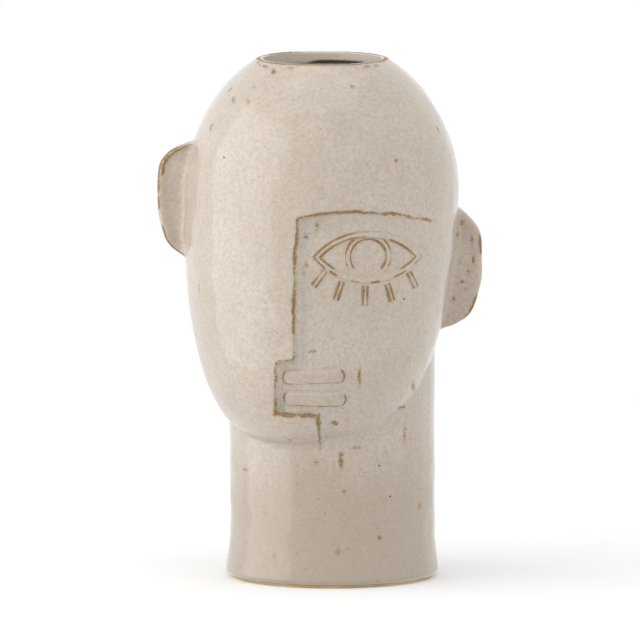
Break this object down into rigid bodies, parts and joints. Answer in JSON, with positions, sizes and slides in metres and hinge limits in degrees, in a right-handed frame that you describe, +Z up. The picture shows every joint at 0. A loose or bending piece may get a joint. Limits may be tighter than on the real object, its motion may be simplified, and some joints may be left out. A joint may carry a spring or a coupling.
{
  "type": "face vase",
  "caption": "Stoneware vase shaped as a stylised head on an oval neck, hollow and open at the crown, with a relief half face, an outlined eye, bar lips and slab ears.",
  "frame": {"origin": "centre of the neck's oval on the face of the foot that rests on a table", "axes": "+Z up through the neck, -Y towards the viewer that the face looks at, +X to the viewer's right"},
  "size_m": [0.1637, 0.1487, 0.26],
  "materials": {
    "glaze": "semi-gloss off-white glaze that breaks to ochre on the edges",
    "bare_clay": "unglazed tan stoneware"
  },
  "bodies": {
    "root": {"foot_slab": "bare_clay", "neck_tube": "glaze", "head_front": "glaze", "head_back": "glaze", "mouth_rim": "glaze", "ear_left": "glaze", "ear_right": "glaze", "eye_outline": "glaze", "iris_ring": "glaze", "eyelashes": "glaze", "upper_lip": "glaze", "lower_lip": "glaze"}
  },
  "joints": []
}
